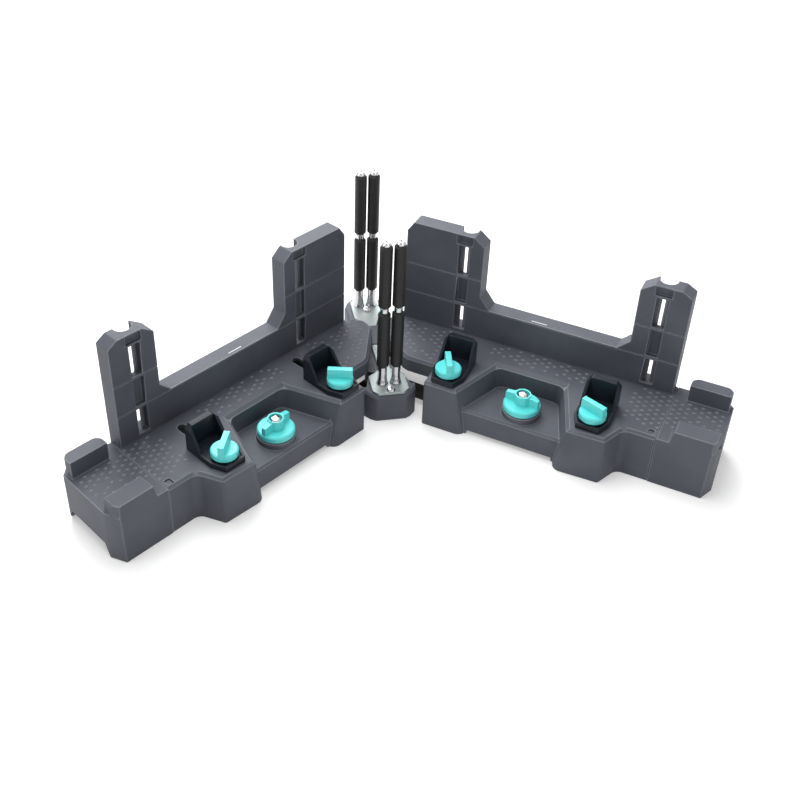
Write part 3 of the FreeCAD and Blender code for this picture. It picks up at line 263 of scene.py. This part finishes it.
def upright_corners(work, radius, tops):
    """The reach of a moulding's upright corner edges that end at one of the heights, and of those above."""
    least_rise, near, upright_share = 0.006, 0.0002, 0.85
    least_turn, most_turn, crease = math.radians(15), math.radians(85), math.radians(10)
    reach = {}
    for edge in work.edges:
        low, high = sorted(edge.verts, key=lambda vert: vert.co.z)
        rise = high.co.z - low.co.z
        upright = rise >= upright_share * edge.calc_length() and rise >= least_rise
        if len(edge.link_faces) != 2 or not upright:
            continue
        turn = edge.calc_face_angle(0.0)
        if least_turn < turn < most_turn and min(abs(high.co.z - top) for top in tops) < near:
            offset = radius * math.tan(turn / 2)
            reach[edge] = offset
            for other in high.link_edges:
                climb = other.other_vert(high).co.z - high.co.z
                if other is not edge and climb > near and other.calc_face_angle(0.0) > crease:
                    reach[other] = offset
    return reach


def trim(work, foot, outward):
    """Bring what stands outside an upright plane back onto it, so that the faces there are one."""
    for vert in work.verts:
        standing_out = (vert.co - foot).dot(outward)
        if standing_out > 1e-6:
            vert.co -= standing_out * outward
    bmesh.ops.remove_doubles(work, verts=work.verts, dist=same_place)
    bmesh.ops.dissolve_degenerate(work, dist=same_place, edges=work.edges)
    bmesh.ops.dissolve_limit(work, angle_limit=flat_turn, verts=work.verts, edges=work.edges)


def softened(node, edge_radius, material, suffix="moulding", uprights=None, plane=None):
    """A copy of a CAD node with its sharp edges rounded, which then stands for the node.

    uprights gives the radius of its upright corners and the heights where they end, and plane the
    foot and outward direction of an upright plane that nothing may stand outside.
    """
    sharp_corner, sharp_shading = math.radians(30.0), math.radians(40.0)
    upright_segments, edge_segments, least_share = 5, 2, 0.1
    source = frame["nodes"][node]
    name = f"{node}_{suffix}"
    work = cleaned(source.data)
    if plane:
        trim(work, *plane)
    if uprights:
        work = cleaned(rounded_mesh(work, upright_corners(work, *uprights), upright_segments, name))
    reach = {edge: min(edge_radius, edge_room(edge)) for edge in work.edges
             if len(edge.link_faces) == 2 and edge.calc_face_angle(0.0) > sharp_corner}
    reach = evened(reach, least_share * edge_radius)
    mesh = rounded_mesh(work, reach, edge_segments, name)
    mesh.name = name
    stored = [found.name for found in mesh.attributes if found.name.startswith("custom_normal")]
    for attribute in stored:
        mesh.attributes.remove(mesh.attributes[attribute])
    mesh.materials.clear()
    mesh.materials.append(material)
    mesh.set_sharp_from_angle(angle=sharp_shading)
    for face in mesh.polygons:
        face.use_smooth = True
        face.material_index = 0
    piece = bpy.data.objects.new(name, mesh)
    bpy.context.scene.collection.objects.link(piece)
    level = piece.modifiers.new("flat_faces", "WEIGHTED_NORMAL")
    level.mode = "FACE_AREA"
    level.weight = 80
    level.keep_sharp = True
    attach(piece, source["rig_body"])
    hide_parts(node)
    return piece


nylon = moulded_nylon("moulded_nylon", (0.070, 0.076, 0.096, 1.0), (0.090, 0.097, 0.118, 1.0),
                      (0.130, 0.138, 0.160, 1.0), (0.260, 0.272, 0.300, 1.0))
softened("centre_base", 0.0007, nylon)


# Guide plates: two plates that carry the posts, cast in zinc and blasted to a satin grey.
# One cross-head screw holds each to the base, and the front one reaches back as a tongue.
def cast_zinc():
    finish = Finish("cast_zinc", {"Metallic": 0.55})
    cloud = finish.noise(0.012, 3.0)
    grit = finish.noise(0.0006, 3.0)
    finish.feed("Base Color", finish.blend(cloud, (0.30, 0.34, 0.34, 1.0), (0.38, 0.42, 0.42, 1.0)))
    finish.feed("Roughness", 0.40 + cloud * 0.16)
    finish.relief(grit, 0.00008)
    return finish.material


zinc = cast_zinc()
for node in ("front_guide_plate", "rear_guide_plate"):
    softened(node, 0.0004, zinc, "casting")


# Posts, collars and screws: turned from steel bar and chrome plated. Each post is a cone foot and
# a spindle, on which a collar parts the two rollers and a domed screw holds them.
def chrome_plate():
    finish = Finish("chrome_plate", {"Metallic": 1.0})
    haze = finish.noise(0.006, 3.0)
    finish.feed("Base Color", finish.blend(haze, (0.44, 0.44, 0.45, 1.0), (0.58, 0.58, 0.59, 1.0)))
    finish.feed("Roughness", 0.10 + haze * 0.12)
    return finish.material


chrome = chrome_plate()
ends = [f"{end}_{hand}" for end in ("front", "rear") for hand in ("left", "right")]
for end in ends:
    softened(f"{end}_post", 0.0002, chrome, "turned")
for node in ("post_collars", "post_cap_screws", "plate_screws"):
    softened(node, 0.00015, chrome, "turned")


# Rollers: eight sleeves of charcoal plastic that turn on the posts and guide the saw blade.
# They are turned to size, so faint lines run round them.
def charcoal_sleeve():
    finish = Finish("charcoal_sleeve", {"Specular IOR Level": 0.24})
    squeeze = {"Vector": finish.place, "Scale": (60.0, 60.0, 2500.0)}
    place = finish.node("ShaderNodeMapping", values=squeeze)
    lines = finish.node("ShaderNodeTexNoise", values={"Vector": place, "Scale": 1.0, "Detail": 2.0})
    cloud = finish.noise(0.015)
    dark, light = (0.016, 0.0155, 0.0155, 1.0), (0.026, 0.025, 0.0255, 1.0)
    finish.feed("Base Color", finish.blend(cloud, dark, light))
    finish.feed("Roughness", 0.36 + lines * 0.14)
    finish.relief(lines, 0.00004)
    return finish.material


charcoal = charcoal_sleeve()
for end in ends:
    for level in ("lower", "upper"):
        softened(f"{end}_{level}_roller", 0.0003, charcoal, "sleeve")


# Wing decks, end pieces and fences: the hollow nylon mouldings of the two wings. A fence is
# screwed down on its deck, and an end piece clips into the deck's open end. The front corner of
# an end piece is one flat facet from the ground to the top of its block.
def wing_matrix(hand):
    """From a wing's own lines, along it and across it, to where the wing stands folded back."""
    return Matrix.Rotation(-hand * math.radians(wing_fold), 4, "Z")


wing_fold = 36.4
tower_radius, tower_tops = 0.0080, (0.0474,)
block_radius, block_tops = 0.0050, (0.0670,)
facet_along, facet_across = 0.3565, -0.0675
facet_run, facet_depth = 0.0060, 0.0145
sides = {"right": 1.0, "left": -1.0}
for side, hand in sides.items():
    softened(f"{side}_wing_deck", 0.0007, nylon, uprights=(tower_radius, tower_tops))
    facet_foot = wing_matrix(hand) @ Vector((hand * facet_along, facet_across, 0.0))
    facet_outward = wing_matrix(hand) @ Vector((hand * facet_depth, -facet_run, 0.0)).normalized()
    softened(f"{side}_end_piece", 0.0007, nylon, uprights=(block_radius, block_tops),
             plane=(facet_foot, facet_outward))
    softened(f"{side}_fence", 0.0008, nylon)


# Tread studs: low diamond points moulded in staggered rows on the table, to keep the work from
# slipping. They stand on the nose, the shelf beside the towers, the outer deck and the end piece.
def stud_tree(material):
    """Geometry Nodes that stand a low stud on each point of a staggered lattice above the mesh."""
    tree = bpy.data.node_groups.new("tread_studs", "GeometryNodeTree")
    tree.interface.new_socket("Geometry", in_out="INPUT", socket_type="NodeSocketGeometry")
    sizes = ("Pitch Along", "Pitch Across", "Stud Radius", "Stud Top Radius", "Stud Height", "Stretch")
    for size in sizes:
        tree.interface.new_socket(size, in_out="INPUT", socket_type="NodeSocketFloat")
    tree.interface.new_socket("Geometry", in_out="OUTPUT", socket_type="NodeSocketGeometry")

    def add(kind, settings=None, values=None):
        made = tree.nodes.new(kind)
        for setting, value in (settings or {}).items():
            setattr(made, setting, value)
        for socket, value in (values or {}).items():
            if isinstance(value, bpy.types.NodeSocket):
                tree.links.new(value, made.inputs[socket])
            else:
                made.inputs[socket].default_value = value
        return made.outputs

    def maths(operation, *values):
        return add("ShaderNodeMath", {"operation": operation}, dict(enumerate(values)))[0]

    given = add("NodeGroupInput")
    columns, rows = 121, 17
    reach_along = maths("MULTIPLY", given["Pitch Along"], columns - 1.0)
    reach_across = maths("MULTIPLY", given["Pitch Across"], rows - 1.0)
    lattice = add("GeometryNodeMeshGrid", values={"Size X": reach_along, "Size Y": reach_across,
                                                  "Vertices X": columns, "Vertices Y": rows})["Mesh"]
    place = add("GeometryNodeInputPosition")[0]
    along = add("ShaderNodeSeparateXYZ", values={0: place})[0]
    column = maths("ROUND", maths("DIVIDE", along, given["Pitch Along"]))
    half_pitch = maths("MULTIPLY", given["Pitch Across"], 0.5)
    stagger = maths("MULTIPLY", maths("FLOORED_MODULO", column, 2.0), half_pitch)
    shift = add("ShaderNodeCombineXYZ", values={1: stagger, 2: 0.1})[0]
    lifted = add("GeometryNodeSetPosition", values={"Geometry": lattice, "Offset": shift})[0]
    meets = add("GeometryNodeRaycast", values={"Target Geometry": given["Geometry"],
                                               "Ray Direction": (0.0, 0.0, -1.0), "Ray Length": 0.2})
    misses = add("FunctionNodeBooleanMath", {"operation": "NOT"}, {0: meets["Is Hit"]})[0]
    landed = add("GeometryNodeSetPosition", values={"Geometry": lifted, "Position": meets["Hit Position"],
                                                    "Selection": meets["Is Hit"]})[0]
    dropped = {"Geometry": landed, "Selection": misses}
    kept = add("GeometryNodeDeleteGeometry", {"domain": "POINT"}, dropped)[0]
    stud = add("GeometryNodeMeshCone", values={"Vertices": 4, "Radius Top": given["Stud Top Radius"],
                                               "Radius Bottom": given["Stud Radius"],
                                               "Depth": given["Stud Height"]})["Mesh"]
    stretch = add("ShaderNodeCombineXYZ", values={0: given["Stretch"], 1: 1.0, 2: 1.0})[0]
    planted = {"Points": kept, "Instance": stud, "Scale": stretch}
    stands = add("GeometryNodeInstanceOnPoints", values=planted)[0]
    real = add("GeometryNodeRealizeInstances", values={0: stands})[0]
    coloured = add("GeometryNodeSetMaterial", values={"Geometry": real, "Material": material})[0]
    tree.links.new(coloured, tree.nodes.new("NodeGroupOutput").inputs[0])
    return tree


deck_top = 0.0500
stud_fields = (
    ((0.272, -0.054), (0.307, -0.054), (0.307, -0.003), (0.272, -0.003)),
    ((0.138, -0.024), (0.230, -0.024), (0.230, -0.003), (0.138, -0.003)),
    ((0.310, -0.049), (0.357, -0.049), (0.357, -0.005), (0.310, -0.005)),
    ((0.030, -0.014), (0.033, -0.024), (0.072, -0.054), (0.093, -0.054), (0.093, -0.003), (0.030, -0.006)),
)
# The studs are a lighter copy of the nylon, a painted highlight standing for the light their tops and sides
# catch; their edges get the painted edge highlight too.
stud_nylon_painted_highlight = moulded_nylon("stud_nylon_painted_highlight", (0.088, 0.095, 0.114, 1.0), (0.106, 0.114, 0.136, 1.0),
                           (0.150, 0.158, 0.180, 1.0), (0.200, 0.210, 0.235, 1.0))
studs = stud_tree(stud_nylon_painted_highlight)
stud_sizes = {"Pitch Along": 0.0060, "Pitch Across": 0.0070, "Stud Radius": 0.0016,
              "Stud Top Radius": 0.0008, "Stud Height": 0.00050, "Stretch": 1.5}
stud_sink = 0.00005
for side, hand in sides.items():
    ground = bpy.data.meshes.new(f"{side}_stud_fields")
    work = bmesh.new()
    for field in stud_fields:
        corners = [work.verts.new((hand * along, across, deck_top - stud_sink)) for along, across in field]
        work.faces.new(corners)
    work.to_mesh(ground)
    work.free()
    maker = bpy.data.objects.new(f"{side}_stud_maker", ground)
    bpy.context.scene.collection.objects.link(maker)
    grow = maker.modifiers.new("studs", "NODES")
    grow.node_group = studs
    for item in studs.interface.items_tree:
        if item.name in stud_sizes:
            grow[item.identifier] = stud_sizes[item.name]
    depsgraph = bpy.context.evaluated_depsgraph_get()
    mesh = bpy.data.meshes.new_from_object(maker.evaluated_get(depsgraph))
    bpy.data.objects.remove(maker)
    mesh.transform(wing_matrix(hand))
    mesh.name = f"{side}_tread_studs"
    piece = bpy.data.objects.new(mesh.name, mesh)
    bpy.context.scene.collection.objects.link(piece)
    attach(piece, f"{side}_wing")


# Mark lines: a short white line, raised a little, on top of the bar of each fence. Each is a thin
# white strip of its own, let into the bar.
def white_print():
    finish = Finish("white_print", {"Specular IOR Level": 0.4})
    cloud = finish.noise(0.003)
    finish.feed("Base Color", finish.blend(cloud, (0.60, 0.61, 0.62, 1.0), (0.74, 0.75, 0.76, 1.0)))
    finish.feed("Roughness", 0.45 + cloud * 0.15)
    return finish.material


white = white_print()
mark_start, mark_end, mark_across, mark_half_width = 0.1665, 0.1815, 0.0040, 0.0005
mark_foot, mark_top, mark_edge = 0.0830, 0.08335, 0.0001
for side, hand in sides.items():
    mesh = bpy.data.meshes.new(f"{side}_mark_line")
    work = bmesh.new()
    bmesh.ops.create_cube(work, size=1.0)
    reach = Matrix.Diagonal((mark_end - mark_start, 2 * mark_half_width, mark_top - mark_foot, 1.0))
    middle = Vector((hand * (mark_start + mark_end) / 2, mark_across, (mark_foot + mark_top) / 2))
    stand = wing_matrix(hand) @ Matrix.Translation(middle) @ reach
    bmesh.ops.transform(work, matrix=stand, verts=work.verts)
    bmesh.ops.bevel(work, geom=work.edges[:], offset=mark_edge, segments=2, affect="EDGES", profile=0.5)
    work.to_mesh(mesh)
    work.free()
    mesh.materials.append(white)
    piece = bpy.data.objects.new(mesh.name, mesh)
    bpy.context.scene.collection.objects.link(piece)
    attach(piece, f"{side}_wing")


# Screws, arms and nuts under the wings: plain zinc-plated steel, and flat bars blacked against
# rust. The lock bolts are chrome plated, because their domed heads show in the knobs.
def plated_steel():
    finish = Finish("plated_steel", {"Metallic": 1.0})
    cloud = finish.noise(0.004, 3.0)
    finish.feed("Base Color", finish.blend(cloud, (0.46, 0.46, 0.45, 1.0), (0.60, 0.60, 0.58, 1.0)))
    finish.feed("Roughness", 0.26 + cloud * 0.18)
    return finish.material


def blacked_bar():
    finish = Finish("blacked_bar", {"Metallic": 0.4})
    cloud = finish.noise(0.010, 4.0)
    grit = finish.noise(0.0007)
    finish.feed("Base Color", finish.blend(cloud, (0.012, 0.012, 0.013, 1.0), (0.028, 0.028, 0.030, 1.0)))
    finish.feed("Roughness", 0.38 + cloud * 0.2)
    finish.relief(grit, 0.00006)
    return finish.material


steel = plated_steel()
blacked = blacked_bar()
for side in sides:
    softened(f"{side}_stay_arm", 0.0004, blacked, "bar")
    for part in ("fence_screws", "pivot_screw", "lock_nut", "outer_clamp_nut", "inner_clamp_nut"):
        softened(f"{side}_{part}", 0.0002, steel, "turned")
    for part in ("outer_clamp_bolt", "inner_clamp_bolt"):
        softened(f"{side}_{part}", 0.0002, steel, "turned")
    softened(f"{side}_lock_bolt", 0.0002, chrome, "turned")
softened("stay_screws", 0.0002, steel, "turned")


# Knobs: the lock knob of each wing and the four small clamp knobs, moulded in turquoise plastic
# with a soft gloss and well rounded edges.
def turquoise_plastic():
    gloss = {"Specular IOR Level": 0.5, "Coat Weight": 0.15, "Coat Roughness": 0.25}
    finish = Finish("turquoise_plastic", gloss)
    cloud = finish.noise(0.009)
    grain = finish.noise(0.0005)
    finish.feed("Base Color", finish.blend(cloud, (0.095, 0.700, 0.690, 1.0), (0.120, 0.750, 0.740, 1.0)))
    finish.feed("Roughness", 0.33 + cloud * 0.10)
    finish.relief(grain, 0.00004)
    return finish.material


turquoise = turquoise_plastic()
for side in sides:
    for part in ("lock_knob", "outer_clamp_knob", "inner_clamp_knob"):
        softened(f"{side}_{part}", 0.0007, turquoise, "grip")


# Clamp jaws: four scoops of glossy black plastic. Each is keyed in a slot of its deck, where it
# slides toward the fence to hold the work.
def black_plastic():
    finish = Finish("black_plastic", {"Specular IOR Level": 0.15})
    cloud = finish.noise(0.010)
    grain = finish.noise(0.0006)
    dark, light = (0.0120, 0.0150, 0.0215, 1.0), (0.0160, 0.0195, 0.0270, 1.0)
    finish.feed("Base Color", finish.blend(cloud, dark, light))
    finish.feed("Roughness", 0.26 + cloud * 0.10)
    finish.relief(grain, 0.00003)
    return finish.material


black = black_plastic()
for side in sides:
    for place in ("outer", "inner"):
        softened(f"{side}_{place}_clamp_jaw", 0.0007, black, "scoop")


# Table top, lights and camera: a pale matt surface under soft studio light, seen as in a catalogue.
# Table top and world look white to the camera and in reflections, and light the part only softly.
def pale_floor():
    """Near white, and lifted towards white where the camera or a reflection sees it, more so far out."""
    finish = Finish("pale_floor", {"Roughness": 0.8, "Specular IOR Level": 0.2, "Emission Strength": 1.0})
    finish.shader.inputs["Base Color"].default_value = (0.80, 0.80, 0.80, 1.0)
    seen = finish.node("ShaderNodeLightPath", output="Is Camera Ray")
    seen = seen + finish.node("ShaderNodeLightPath", output="Is Glossy Ray")
    seen = seen + finish.node("ShaderNodeLightPath", output="Is Transmission Ray")
    length = {"operation": "LENGTH"}
    away = finish.node("ShaderNodeVectorMath", length, {0: finish.place}, output="Value")
    lift = finish.blend(finish.mask(away, 0.7, 2.5), (0.34, 0.34, 0.34, 1.0), (0.90, 0.90, 0.90, 1.0))
    finish.feed("Emission Color", finish.blend(seen, (0.0, 0.0, 0.0, 1.0), lift))
    return finish.material


floor_mesh = bpy.data.meshes.new("floor")
work = bmesh.new()
bmesh.ops.create_grid(work, x_segments=1, y_segments=1, size=6.0)
work.to_mesh(floor_mesh)
work.free()
floor_mesh.materials.append(pale_floor())
floor = bpy.data.objects.new("floor", floor_mesh)
bpy.context.scene.collection.objects.link(floor)


def soft_light(name, place, aim, size, power):
    """A round area light at a place, turned to its aim."""
    data = bpy.data.lights.new(name, "AREA")
    data.shape = "DISK"
    data.size = size
    data.energy = power
    lamp = bpy.data.objects.new(name, data)
    lamp.location = place
    lamp.rotation_euler = (Vector(aim) - Vector(place)).to_track_quat("-Z", "Y").to_euler()
    bpy.context.scene.collection.objects.link(lamp)


soft_light("overhead", (-0.2, 0.2, 1.7), (0.0, -0.05, 0.0), 1.4, 23.0)
soft_light("back_box", (-0.1, 1.5, 1.25), (0.0, -0.05, 0.05), 1.7, 34.0)
soft_light("left_box", (-1.8, -0.5, 0.8), (0.0, -0.05, 0.05), 1.0, 8.0)
soft_light("front_fill", (0.8, -1.8, 0.9), (0.0, 0.0, 0.05), 1.2, 5.0)

world = bpy.data.worlds.new("studio")
world.use_nodes = True
bpy.context.scene.world = world
nodes, links = world.node_tree.nodes, world.node_tree.links
background = nodes["Background"]
path = nodes.new("ShaderNodeLightPath")
shown = nodes.new("ShaderNodeMath")
shown.operation = "MAXIMUM"
links.new(path.outputs["Is Camera Ray"], shown.inputs[0])
mirrored = nodes.new("ShaderNodeMath")
mirrored.operation = "MAXIMUM"
links.new(path.outputs["Is Glossy Ray"], mirrored.inputs[0])
links.new(path.outputs["Is Transmission Ray"], mirrored.inputs[1])
links.new(mirrored.outputs[0], shown.inputs[1])
strength = nodes.new("ShaderNodeMapRange")
strength.inputs["To Min"].default_value = 0.30
strength.inputs["To Max"].default_value = 1.0
links.new(shown.outputs[0], strength.inputs["Value"])
background.inputs["Color"].default_value = (1.0, 1.0, 1.0, 1.0)
links.new(strength.outputs["Result"], background.inputs["Strength"])

camera_data = bpy.data.cameras.new("camera")
camera_data.lens = 50.3
camera_data.sensor_width = 36.0
camera_data.shift_x = 0.0625
camera_data.shift_y = -0.075
camera = bpy.data.objects.new("camera", camera_data)
yaw, pitch, roll = (math.radians(angle) for angle in (9.602, -35.959, 0.643))
ahead = Vector((math.sin(yaw) * math.cos(pitch), math.cos(yaw) * math.cos(pitch), math.sin(pitch)))
level = Vector((math.cos(yaw), -math.sin(yaw), 0.0))
above = level.cross(ahead)
across = level * math.cos(roll) + above * math.sin(roll)
upward = above * math.cos(roll) - level * math.sin(roll)
turned = Matrix((across, upward, -ahead)).transposed().to_4x4()
camera.matrix_world = Matrix.Translation((-0.17509, -0.91586, 0.68319)) @ turned
bpy.context.scene.collection.objects.link(camera)
bpy.context.scene.camera = camera
bpy.context.scene.view_settings.view_transform = "Standard"
